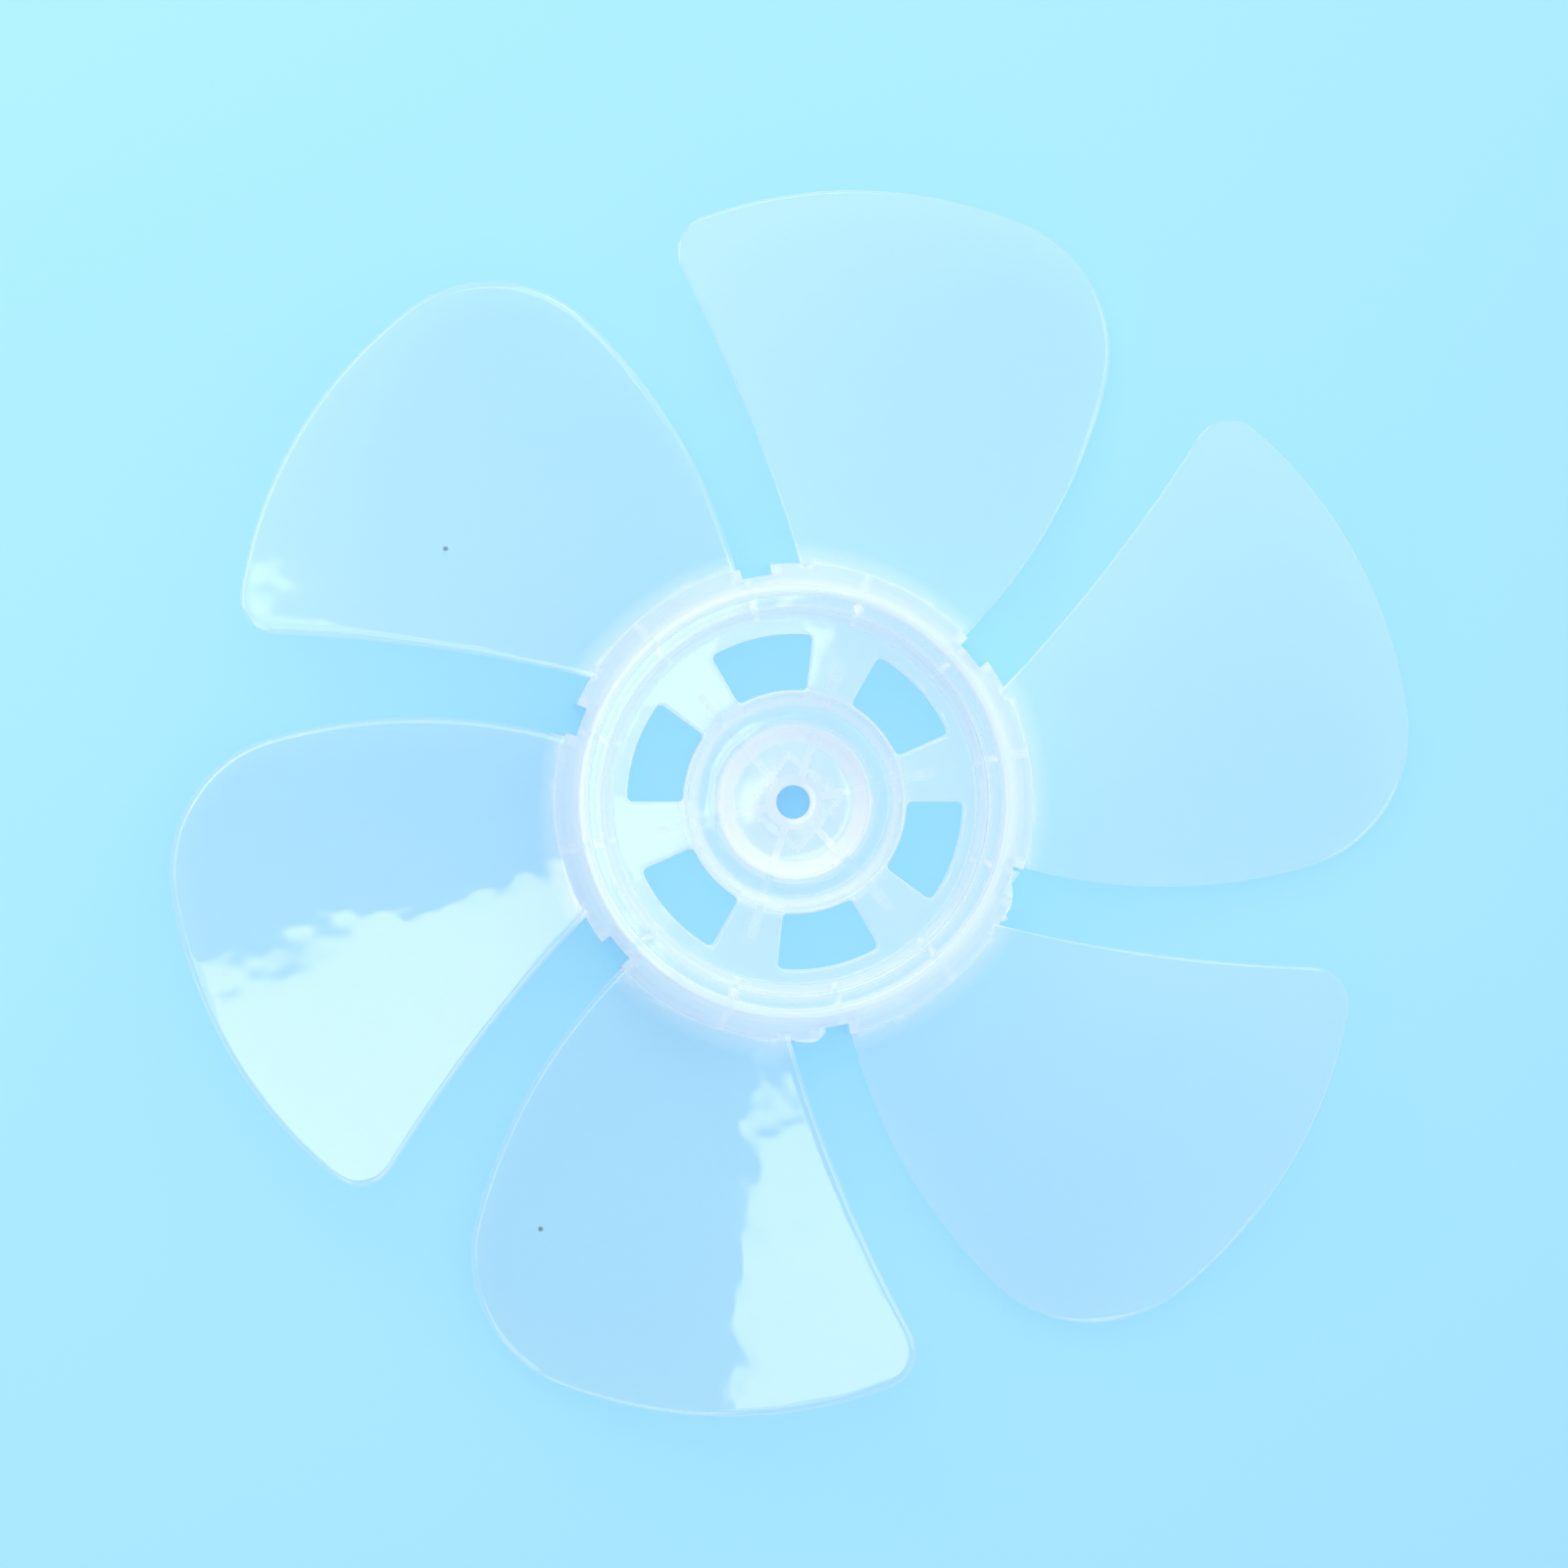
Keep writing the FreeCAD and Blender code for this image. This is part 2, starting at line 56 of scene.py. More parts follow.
skirt_radius = 57.8
wall = 2.0
slope_wall, shoulder_wall = wall * 0.8, wall * 0.4
bore_round, foot_round, root_round, step_round = 0.4, 0.3, 0.5, 0.8
disc_round, cup_round, shoulder_round, crease_round = 0.9, 1.2, 1.2, 0.25
# Close rows of points on the cup's floor, where the collar under it shows through.
floor_rows, floor_row_step = 12, 0.6


def rounded_outline(corners, steps=4, longest=None):
    """Points of a closed outline, whose corners are (across, up, radius of the corner).
    Where longest is given, its long sides get points between their ends."""
    points = []
    for before, here, after in zip(corners[-1:] + corners[:-1], corners, corners[1:] + corners[:1]):
        corner, radius = Vector(here[:2]), here[2]
        if radius == 0:
            points.append(corner)
            continue
        back = (Vector(before[:2]) - corner).normalized()
        onward = (Vector(after[:2]) - corner).normalized()
        half = back.angle(onward) / 2
        reach = radius / math.tan(half)
        middle = corner + (back + onward).normalized() * (radius / math.sin(half))
        start = corner + back * reach - middle
        finish = corner + onward * reach - middle
        sweep = -start.angle_signed(finish)
        for step in range(steps + 1):
            points.append(middle + Matrix.Rotation(sweep * step / steps, 2) @ start)
    if longest is None:
        return points
    finer = []
    for here, there in zip(points, points[1:] + points[:1]):
        parts = max(1, round((there - here).length / longest))
        finer += [here.lerp(there, part / parts) for part in range(parts)]
    return finer


def new_piece(name, points, faces):
    """An object from points in millimetres and faces."""
    mesh = bpy.data.meshes.new(name)
    mesh.from_pydata([Vector(point) * mm for point in points], [], faces)
    piece = bpy.data.objects.new(name, mesh)
    bpy.context.scene.collection.objects.link(piece)
    return piece


def turned(name, outline, start=0.0, finish=360.0, segments=240):
    """An anticlockwise outline of (radius, height) points turned round the shaft, or over a sector."""
    whole = finish - start == 360.0
    rows = segments if whole else segments + 1
    angles = [math.radians(start + (finish - start) * row / segments) for row in range(rows)]
    points = [(r * math.cos(a), r * math.sin(a), z) for a in angles for r, z in outline]
    count = len(outline)
    faces = []
    for row in range(segments):
        for side in range(count):
            here, there = row * count, (row + 1) % rows * count
            following = (side + 1) % count
            faces.append((here + side, there + side, there + following, here + following))
    if not whole:
        faces.append(tuple(range(count)))
        faces.append(tuple(segments * count + side for side in reversed(range(count))))
    return new_piece(name, points, faces)


hub = turned(
    "hub",
    rounded_outline(
        [
            (bore_radius, floor_height, bore_round),
            (bore_radius, tube_end, foot_round),
            (tube_radius, tube_end, foot_round),
            (tube_radius, floor_height - wall, root_round),
            (floor_radius + wall, floor_height - wall, step_round),
            (cup_radius + wall, annulus_height - wall, step_round),
            (annulus_radius + slope_wall, annulus_height - wall, step_round),
            (disc_inner_radius + slope_wall, disc_height - wall, step_round),
            (disc_outer_radius + slope_wall, disc_height - wall, step_round),
            (ring_inner_radius + slope_wall, ring_height - wall, step_round),
            (lip_outer_radius, ring_height - wall, step_round),
            (shoulder_radius - wall, shoulder_height - shoulder_wall, step_round),
            (skirt_radius - wall, 0, foot_round),
            (skirt_radius, 0, foot_round),
            (shoulder_radius, shoulder_height, shoulder_round),
            (lip_outer_radius, rim_height - lip_drop, crease_round),
            (lip_outer_radius, rim_height, step_round),
            (lip_inner_radius, rim_height, step_round),
            (lip_inner_radius, ring_height, root_round),
            (ring_inner_radius, ring_height, step_round),
            (disc_outer_radius, disc_height, disc_round),
            (disc_inner_radius, disc_height, disc_round),
            (annulus_radius, annulus_height, step_round),
            (cup_radius, annulus_height, step_round),
            (floor_radius, floor_height, cup_round),
            *[(floor_radius - wall - floor_row_step * row, floor_height, 0) for row in range(floor_rows)],
        ],
        steps=3,
        longest=2.4,
    ),
)

# Windows: six openings in the disc that let air through to the motor, each with small round corners.
# The spokes that are left between them carry the cup in the middle.
window_inner_radius, window_outer_radius = 26.3, 39.4
window_angle, window_corner = 36.0, 1.3
window_round, round_leans = 0.7, (0, 22.5, 45, 67.5, 90)
window_middle_radius = (window_inner_radius + window_outer_radius) / 2
arc_steps = 10
blade_count = 6
blade_step = 360 / blade_count


def polar(radius, angle):
    """The point at a radius and an angle in degrees."""
    return Vector((radius * math.cos(math.radians(angle)), radius * math.sin(math.radians(angle))))


def stacked(name, layers):
    """A solid through outlines of (x, y) points, each given with its height, from the lowest up."""
    count = len(layers[0][0])
    points = [(point[0], point[1], height) for outline, height in layers for point in outline]
    faces = [tuple(reversed(range(count))), tuple(range(len(points) - count, len(points)))]
    for low in range(0, len(points) - count, count):
        for side in range(count):
            following = (side + 1) % count
            faces.append((low + side, low + following, low + count + following, low + count + side))
    return new_piece(name, points, faces)


def upright(name, outline, low, high):
    """An outline of (x, y) points raised from one height to another."""
    return stacked(name, [(outline, low), (outline, high)])


def combine(target, tools, operation):
    """Joins solid pieces to the target or cuts them from it, and clears them away."""
    tool_set = bpy.data.collections.new("tools")
    for tool in tools:
        tool_set.objects.link(tool)
    boolean = target.modifiers.new("combine", "BOOLEAN")
    boolean.operation = operation
    boolean.operand_type = "COLLECTION"
    boolean.collection = tool_set
    boolean.solver = "MANIFOLD"
    shaped = target.evaluated_get(bpy.context.evaluated_depsgraph_get())
    target.data = bpy.data.meshes.new_from_object(shaped)
    target.modifiers.clear()
    for tool in tools:
        bpy.data.objects.remove(tool)
    bpy.data.collections.remove(tool_set)


def window_outline(number, grown):
    """Outline of a window, set outwards all round."""
    middle = (number + 0.5) * blade_step
    half = window_angle / 2 + math.degrees(grown / window_middle_radius)
    corners = []
    for radius, way in ((window_outer_radius + grown, 1), (window_inner_radius - grown, -1)):
        for step in range(arc_steps + 1):
            corner = window_corner + grown if step in (0, arc_steps) else 0
            corners.append((*polar(radius, middle + half * way * (2 * step / arc_steps - 1)), corner))
    return rounded_outline(corners)


window_cuts = []
for number in range(blade_count):
    layers = [(window_outline(number, 0), annulus_height - wall)]
    for lean in round_leans:
        grown = window_round * (1 - math.cos(math.radians(lean)))
        height = disc_height - window_round * (1 - math.sin(math.radians(lean)))
        layers.append((window_outline(number, grown), height))
    layers.append((window_outline(number, window_round), rim_height))
    window_cuts.append(stacked("window", layers))
combine(hub, window_cuts, "DIFFERENCE")

# Ribs and gussets: thin upright plates on the hub's back, which show through the front as pale lines.
# Six ribs run from the bore tube out under the spokes, and twelve gussets stiffen the rim's ring.
rib_thickness, gusset_thickness = 1.8, 1.6
rib_foot_height, rib_knee_radius, rib_knee_height, rib_end_radius = 4.0, 20.0, 9.0, 34.5
gusset_foot_height = 20.0


def plate(name, outline, thickness, angle):
    """A flat plate along the shaft's axis, standing on a line out from it at an angle."""
    count = len(outline)
    spin = Matrix.Rotation(math.radians(angle), 3, "Z")
    sides = (-thickness / 2, thickness / 2)
    points = [spin @ Vector((out, side, height)) for side in sides for out, height in outline]
    faces = [(side, (side + 1) % count, count + (side + 1) % count, count + side) for side in range(count)]
    faces.append(tuple(reversed(range(count))))
    faces.append(tuple(range(count, 2 * count)))
    piece = new_piece(name, points, faces)
    piece.data.flip_normals()
    return piece


rib_outline = [
    ((bore_radius + tube_radius) / 2, rib_foot_height),
    (rib_knee_radius, rib_knee_height),
    (rib_end_radius, disc_height - wall / 2),
    (disc_inner_radius + slope_wall / 2, disc_height - wall / 2),
    (annulus_radius + slope_wall / 2, annulus_height - wall / 2),
    (cup_radius + wall / 2, annulus_height - wall / 2),
    (floor_radius + wall / 2, floor_height - wall / 2),
    ((bore_radius + tube_radius) / 2, floor_height - wall / 2),
]
gusset_outline = [
    (disc_outer_radius + slope_wall / 2, disc_height - wall / 2),
    (shoulder_radius - wall / 2, gusset_foot_height),
    (shoulder_radius - wall / 2, shoulder_height - shoulder_wall / 2),
    (lip_outer_radius, ring_height - wall / 2),
    (ring_inner_radius + slope_wall / 2, ring_height - wall / 2),
]
rib_turns = [blade_step * number for number in range(blade_count)]
gusset_turns = [blade_step / 2 * number for number in range(2 * blade_count)]
combine(hub, [plate("rib", rib_outline, rib_thickness, turn) for turn in rib_turns], "UNION")
combine(hub, [plate("gusset", gusset_outline, gusset_thickness, turn) for turn in gusset_turns], "UNION")

# Square collar: a thin wall round the bore tube, which shows through the cup's floor as a pale square.
# The tube inside it ends in a slot for the pin that drives the blade.
collar_half_width, collar_wall, collar_end, collar_turn = 8.6, 1.3, 4.0, -6.0
pin_slot_width, pin_slot_depth = 2.8, 5.0
quarters = [collar_turn + 90 * quarter for quarter in range(4)]
collar_top = floor_height - wall / 2
outside = [polar(collar_half_width * math.sqrt(2), turn) for turn in quarters]
inside = [polar((collar_half_width - collar_wall) * math.sqrt(2), turn) for turn in quarters]
collar = upright("collar", outside, collar_end, collar_top)
combine(collar, [upright("collar_hole", inside, collar_end - wall, collar_top + wall)], "DIFFERENCE")
combine(hub, [collar], "UNION")
slot_reach = tube_radius + wall / 4
corner_signs = [(-1, -1), (1, -1), (1, 1), (-1, 1)]
slot_outline = [(pin_slot_width / 2 * x, slot_reach * y) for x, y in corner_signs]
combine(hub, [upright("slot", slot_outline, tube_end - wall, tube_end + pin_slot_depth)], "DIFFERENCE")

# Notches: beside each blade the mould's front half reaches down past the skirt, which steps inwards there.
# Each is a shallow panel set back behind the shoulder, cut down to the back rim.
notch_middle, notch_angle, notch_side_angle = 27.7, 7.4, 2.0
notch_head_radius, notch_foot_radius, notch_segments = 53.3, 55.0, 12
recesses, notches = [], []
for number in range(blade_count):
    middle = notch_middle + number * blade_step
    reach = notch_angle / 2 + notch_side_angle
    recess = [
        (notch_foot_radius - wall, 0),
        (skirt_radius - wall / 2, 0),
        (shoulder_radius - wall / 2, shoulder_height - shoulder_wall / 2),
        (lip_outer_radius, ring_height - wall / 2),
        (notch_head_radius - wall, shoulder_height),
    ]
    recesses.append(turned("recess", recess, middle - reach, middle + reach, notch_segments))
    reach = notch_angle / 2
    notch = [
        (notch_foot_radius, -wall),
        (skirt_radius + wall, -wall),
        (skirt_radius + wall, rim_height + wall),
        (notch_head_radius, rim_height + wall),
        (notch_head_radius, shoulder_height),
    ]
    notches.append(turned("notch", notch, middle - reach, middle + reach, notch_segments))
combine(hub, recesses, "UNION")
combine(hub, notches, "DIFFERENCE")

# Gate marks and flash: two low stubs on the rim's ring, where the plastic was let into the mould, and thin
# ragged fins at the shoulder beside two of the blades, where it crept out between the worn halves.
gate_radius, gate_place, gate_height, gate_angle = 1.3, 47.0, 0.5, 60.0
# Shares of a stub's radius and height, from inside the ring's wall up to its top.
gate_profile = ((1, -2), (1, 0), (0.94, 0.5), (0.72, 0.9), (0.4, 1))
gate_facet_angle = 12
flash_thickness = 0.6
flash_edges = {
    4: [(18.0, 0.2), (20.0, 0.5), (22.4, 0.7), (23.6, 0.2), (24.6, -0.6), (25.6, -1.5)],
    5: [(18.0, 0.3), (19.0, 1.2), (19.8, 0.2), (21.6, 0.5), (24.0, 0.0), (27.4, -1.5), (30.6, -0.5)],
}
marks = []
for angle in (gate_angle, gate_angle + 180):
    middle = polar(gate_place, angle)
    layers = []
    for wide, high in gate_profile:
        stub = [middle + polar(gate_radius * wide, turn) for turn in range(0, 360, gate_facet_angle)]
        layers.append((stub, ring_height + gate_height * high))
    marks.append(stacked("gate_mark", layers))
notch_start = notch_middle - notch_angle / 2
shoulder_root, notch_root = shoulder_radius - wall * 0.75, notch_head_radius - wall / 2
for gap, edge in flash_edges.items():
    line = [(shoulder_radius + reach, angle) for angle, reach in edge]
    line += [(notch_root, edge[-1][0]), (notch_root, notch_start)]
    line += [(shoulder_root, notch_start), (shoulder_root, edge[0][0])]
    outline = [polar(radius, gap * blade_step + angle) for radius, angle in line]
    marks.append(upright("flash", outline, shoulder_height - flash_thickness, shoulder_height))
combine(hub, marks, "UNION")

# Blades: thin cambered sheets with a nearly even pitch, lower towards the tip, and a round edge all along.
# The trailing edge stands high and the leading edge low; the root runs down the hub's drafted skirt.
blade_thickness, blade_bend = 1.6, 400.0
# Distance out along the blade, height of its lower face there and pitch in degrees.
stations = np.array(
    [
        (46.0, 24.0, 16.5),
        (75.0, 18.8, 15.8),
        (100.0, 15.3, 15.5),
        (125.0, 12.7, 15.2),
        (152.0, 10.8, 15.0),
    ]
)
lift_curve = np.polyfit(stations[:, 0], stations[:, 1], 4)
pitch_curve = np.polyfit(stations[:, 0], np.radians(stations[:, 2]), 4)
lead_root, lead_tip = Vector((44.0, -23.2)), Vector((144.9, -36.8))
trail_tip, trail_root = Vector((115.0, 70.0)), Vector((47.0, 11.8))
lead_bow, tip_bow, trail_bow = 10.2, 16.0, -2.9
lead_corner, trail_corner = 32.0, 9.0
arc_points = 100


def sheet_height(x, y, above):
    """Height of the blade's sheet over a point, above its lower face by a share of its thickness."""
    pitch = np.polyval(pitch_curve, x)
    across = y + blade_bend * np.sin(pitch)
    radius = blade_bend - above * blade_thickness
    return np.polyval(lift_curve, x) + blade_bend * np.cos(pitch) - np.sqrt(radius**2 - across**2)


def bowed(start, finish, bow):
    """Centre and radius of the arc between two corners that bows to the right of its chord."""
    chord = finish - start
    radius = chord.length_squared / (8 * abs(bow)) + abs(bow) / 2
    right = Vector((chord.y, -chord.x)).normalized()
    return (start + finish) / 2 + right * (bow - math.copysign(radius, bow)), radius


def round_corner(corner, radius, arcs):
    """Centre of a round corner inside the outline that touches two arcs, and where it touches them."""
    (first, first_reach), (second, second_reach) = [
        (centre, size - math.copysign(radius, bow)) for (centre, size), bow in arcs
    ]
    apart = second - first
    along = (first_reach**2 - second_reach**2 + apart.length_squared) / (2 * apart.length)
    aside = math.sqrt(first_reach**2 - along**2)
    onward = apart.normalized()
    foot = first + onward * along
    sides = [foot + Vector((onward.y, -onward.x)) * aside * way for way in (1, -1)]
    middle = min(sides, key=lambda side: (side - corner).length)
    touches = [centre + (middle - centre).normalized() * size for (centre, size), bow in arcs]
    return middle, touches


def arc_between(centre, start, finish):
    """Points along an arc, without its last."""
    sweep = -(start - centre).angle_signed(finish - centre) / arc_points
    return [centre + Matrix.Rotation(sweep * step, 2) @ (start - centre) for step in range(arc_points)]


lead_arc = bowed(lead_root, lead_tip, lead_bow)
tip_arc = bowed(lead_tip, trail_tip, tip_bow)
trail_arc = bowed(trail_tip, trail_root, trail_bow)
lead_arcs = [(lead_arc, lead_bow), (tip_arc, tip_bow)]
trail_arcs = [(tip_arc, tip_bow), (trail_arc, trail_bow)]
lead_round, lead_touches = round_corner(lead_tip, lead_corner, lead_arcs)
trail_round, trail_touches = round_corner(trail_tip, trail_corner, trail_arcs)
edge_line = arc_between(lead_arc[0], lead_root, lead_touches[0])
edge_line += arc_between(lead_round, *lead_touches)
edge_line += arc_between(tip_arc[0], lead_touches[1], trail_touches[0])
edge_line += arc_between(trail_round, *trail_touches)
edge_line += arc_between(trail_arc[0], trail_touches[1], trail_root)
edge_line = np.array([*edge_line, trail_root])
runs = np.linalg.norm(np.diff(edge_line, axis=0), axis=1)
way_along = np.concatenate([[0], np.cumsum(runs)])
inward = np.gradient(edge_line, way_along, axis=0)[:, ::-1] * (-1, 1)
# The blade's sides meet in the middle of its round corners.
lead_end, tip_end = way_along[arc_points * 3 // 2], way_along[arc_points * 7 // 2]
out_steps, across_steps, edge_steps = 56, 48, 6
edge_places = np.concatenate(
    [
        np.linspace(0, lead_end, out_steps + 1),
        np.linspace(lead_end, tip_end, across_steps + 1)[1:],
        np.linspace(tip_end, way_along[-1], out_steps + 1)[1:],
    ]
)


def edge_point(places, inset):
    """Points on the blade's outline, set inwards."""
    on_edge = np.stack([np.interp(places, way_along, edge_line[:, axis]) for axis in (0, 1)], axis=1)
    aside = np.stack([np.interp(places, way_along, inward[:, axis]) for axis in (0, 1)], axis=1)
    return on_edge + aside / np.linalg.norm(aside, axis=1, keepdims=True) * inset


# The plan inside the round edge is filled in evenly between its four sides.
edge_round = 1.5
rim_line = edge_point(edge_places, edge_round)
lead_side = rim_line[: out_steps + 1]
tip_side = rim_line[out_steps : out_steps + across_steps + 1]
trail_side = rim_line[out_steps + across_steps :][::-1]
out = np.linspace(0, 1, out_steps + 1)[:, None, None]
across = np.linspace(0, 1, across_steps + 1)[None, :, None]
root_side = lead_side[0] + across[0] * (trail_side[0] - lead_side[0])
plan = (1 - across) * lead_side[:, None] + across * trail_side[:, None]
plan = plan + (1 - out) * root_side[None] + out * tip_side[None]
plan = plan - (1 - out) * ((1 - across) * lead_side[0] + across * trail_side[0])
plan = plan - out * ((1 - across) * lead_side[-1] + across * trail_side[-1])
flat = plan.reshape(-1, 2)
blade_points = [np.column_stack([flat, sheet_height(flat[:, 0], flat[:, 1], above)]) for above in (0, 1)]
for step in range(1, edge_steps):
    lean = math.pi * (step / edge_steps - 0.5)
    ring = edge_point(edge_places, edge_round * (1 - math.cos(lean)))
    height = sheet_height(ring[:, 0], ring[:, 1], (1 + math.sin(lean)) / 2)
    blade_points.append(np.column_stack([ring, height]))
blade_points = np.concatenate(blade_points)
under = np.arange(flat.shape[0]).reshape(out_steps + 1, across_steps + 1)
over = under + flat.shape[0]
loops = [np.concatenate([face[:, 0], face[-1, 1:], face[:-1, -1][::-1]]) for face in (under, over)]
ring_size = len(edge_places)
rings = [2 * flat.shape[0] + ring_size * step + np.arange(ring_size) for step in range(edge_steps - 1)]
loops = [loops[0], *rings, loops[1]]


def quads(first, second, third, fourth):
    """Faces from four arrays of corners."""
    return np.stack([corner.ravel() for corner in (first, second, third, fourth)], axis=1).tolist()


blade_faces = quads(over[:-1, :-1], over[1:, :-1], over[1:, 1:], over[:-1, 1:])
blade_faces += quads(under[:-1, 1:], under[1:, 1:], under[1:, :-1], under[:-1, :-1])
blade_faces += quads(under[0, 1:], under[0, :-1], over[0, :-1], over[0, 1:])
for low, high in zip(loops, loops[1:]):
    blade_faces += quads(low[:-1], low[1:], high[1:], high[:-1])
blade_faces.append([int(loop[0]) for loop in loops])
blade_faces.append([int(loop[-1]) for loop in reversed(loops)])
root_core = [
    (floor_radius, -rim_height),
    (skirt_radius - wall / 2, -rim_height),
    (skirt_radius - wall / 2, 0),
    (shoulder_radius - wall / 2, shoulder_height - shoulder_wall / 2),
    (lip_outer_radius - wall / 2, ring_height),
    (lip_outer_radius - wall / 2, 2 * rim_height),
    (floor_radius, 2 * rim_height),
]
blade = new_piece("blade", blade_points.tolist(), blade_faces)
combine(blade, [turned("root_core", root_core)], "DIFFERENCE")
blades = [blade]
for number in range(1, blade_count):
    copy = bpy.data.objects.new("blade", blade.data.copy())
    copy.data.transform(Matrix.Rotation(math.radians(number * blade_step), 4, "Z"))
    bpy.context.scene.collection.objects.link(copy)
    blades.append(copy)
combine(hub, blades, "UNION")
hub.name = "moulding"

# The moulding's finish: glossy polypropylene, mostly seen through, but milky: the further that sight runs
# through it, along a rib or in at an edge, the whiter it looks. The thick hub is milkier than the blades.
milk_colour = (0.95, 0.975, 1.0, 1)
# Distance from the shaft, and how milky each millimetre of plastic is there.
milk_per_mm = [
    (17.5, 0.32),
    (18.5, 0.14),
    (22.5, 0.14),
    (24.0, 0.24),
    (26.0, 0.18),
    (48.0, 0.18),
    (50.0, 0.26),
    (56.0, 0.26),
    (61.0, 0.055),
]
hub_reach = milk_per_mm[-1][0]
# Down a rib or in at an edge, sight only runs so deep. At the blades' edges that depth also grows with
# height, which paints a highlight along the high trailing edges.
hub_most_thickness, ring_most_thickness, least_slant = 3.5, 9.0, 0.2
highlight_edge_heights, edge_depth_and_painted_highlight = (14.0, 24.0), (3.0, 10.0)
ring_flat_reach, skin = gate_radius * 0.95, 0.05
back_scatter = 0.8
sight_passed = (0.997, 0.994, 0.998, 1)
lamplight_passed = (0.85, 0.90, 0.95, 1)
dirt_colour = (0.08, 0.14, 0.17, 1)
dirt_places = [(-67.9, 75.2, 23.6), (-80.0, -87.1, 9.1)]
dirt_core, dirt_reach, dirt_cover = 0.3, 0.8, 0.8
mirror_head_on, mirror_power = 0.04, 5
wave_size, wave_depth, wave_detail, wave_falloff = 0.022, 0.0003, 2.0, 0.45
wave_low, wave_high, sheen_low, sheen_high = 0.3, 0.7, 0.03, 0.07
sharp_angle = 32

solid = BVHTree.FromPolygons(
    [vertex.co for vertex in hub.data.vertices], [polygon.vertices for polygon in hub.data.polygons]
)
thickness = hub.data.attributes.new("thickness", "FLOAT", "POINT")
for vertex, measured in zip(hub.data.vertices, thickness.data):
    through = solid.ray_cast(vertex.co - vertex.normal * skin * mm, -vertex.normal)[3]
    from_shaft, up = vertex.co.xy.length / mm, vertex.co.z / mm
    most = hub_most_thickness
    if from_shaft > hub_reach:
        # Painted highlight: a blade's edge turns milkier the higher it stands, so the trailing edges show
        # bright lines.
        most = np.interp(up, highlight_edge_heights, edge_depth_and_painted_highlight)
    elif up > ring_height - skin and abs(from_shaft - gate_place) < ring_flat_reach:
        most = ring_most_thickness
    measured.value = min(through / mm, most) if through else most

plastic = bpy.data.materials.new("milky_plastic")
plastic.use_nodes = True
nodes, links = plastic.node_tree.nodes, plastic.node_tree.links
nodes.clear()


def node(kind, *feeds, **settings):
    """A node of the plastic; feeds are sockets or values for its inputs, in their order."""
    made = nodes.new(f"ShaderNode{kind}")
    for setting, value in settings.items():
        setattr(made, setting, value)
    for entry, feed in zip(made.inputs, feeds):
        if isinstance(feed, bpy.types.NodeSocket):
            links.new(feed, entry)
        elif feed is not None:
            entry.default_value = feed
    return made


def maths(operation, *feeds):
    """The result of a sum on sockets and values."""
    return node("Math", *feeds, operation=operation).outputs[0]


grazing = node("LayerWeight", 0.5).outputs["Facing"]
slant = maths("MAXIMUM", maths("SUBTRACT", 1.0, grazing), least_slant)
crossed = maths("DIVIDE", node("Attribute", attribute_name="thickness").outputs["Fac"], slant)
place = node("TexCoord").outputs["Object"]
level_place = node("VectorMath", place, (1, 1, 0), operation="MULTIPLY").outputs[0]
out_from_shaft = node("VectorMath", level_place, operation="LENGTH").outputs["Value"]
milk_ramp = node("ValToRGB", maths("DIVIDE", out_from_shaft, hub_reach * mm))
stops = milk_ramp.color_ramp.elements
while len(stops) < len(milk_per_mm):
    stops.new(1.0)
for stop, (radius, rate) in zip(stops, milk_per_mm):
    stop.position = radius / hub_reach
    stop.color = (rate, rate, rate, 1)
milk_met = maths("MULTIPLY", crossed, milk_ramp.outputs["Color"])
# Sight meets two faces of each wall, and each face shows half of the wall's milk.
milkiness = maths("SUBTRACT", 1.0, maths("EXPONENT", maths("MULTIPLY", milk_met, -0.5)))
mirror = maths("MULTIPLY_ADD", maths("POWER", grazing, mirror_power), 1 - mirror_head_on, mirror_head_on)

waves = node("TexNoise", place, None, 1 / wave_size, wave_detail, wave_falloff).outputs["Fac"]
wavy = node("Bump", 1.0, wave_depth)
links.new(waves, wavy.inputs["Height"])
sheen = node("MapRange", waves, wave_low, wave_high, sheen_low, sheen_high).outputs[0]
gloss = node("BsdfAnisotropic", (1, 1, 1, 1), sheen)
links.new(wavy.outputs[0], gloss.inputs["Normal"])
milk = node(
    "MixShader",
    back_scatter,
    node("BsdfTranslucent", milk_colour).outputs[0],
    node("BsdfDiffuse", milk_colour).outputs[0],
)
body = node("MixShader", milkiness, node("BsdfTransparent", sight_passed).outputs[0], milk.outputs[0])
nearest = None
for dirt_place in dirt_places:
    distance = node("VectorMath", place, Vector(dirt_place) * mm, operation="DISTANCE").outputs["Value"]
    nearest = maths("MINIMUM", nearest, distance) if nearest else distance
dirt = node("MapRange", nearest, dirt_core * mm, dirt_reach * mm, dirt_cover, 0.0).outputs[0]
marked = node("MixShader", dirt, body.outputs[0], node("BsdfDiffuse", dirt_colour).outputs[0])
surface = node("MixShader", mirror, marked.outputs[0], gloss.outputs[0])
lamplight = node("LightPath").outputs["Is Shadow Ray"]
passing = node("BsdfTransparent", lamplight_passed)
lit = node("MixShader", lamplight, surface.outputs[0], passing.outputs[0])
node("OutputMaterial", lit.outputs[0])
hub.data.materials.clear()
hub.data.materials.append(plastic)
for polygon in hub.data.polygons:
    polygon.use_smooth = True
hub.data.set_sharp_from_angle(angle=math.radians(sharp_angle))
weighted = hub.modifiers.new("even_normals", "WEIGHTED_NORMAL")
weighted.keep_sharp = True
weighted.mode = "FACE_AREA_WITH_ANGLE"
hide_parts("fan_blade")
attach(hub, "root")

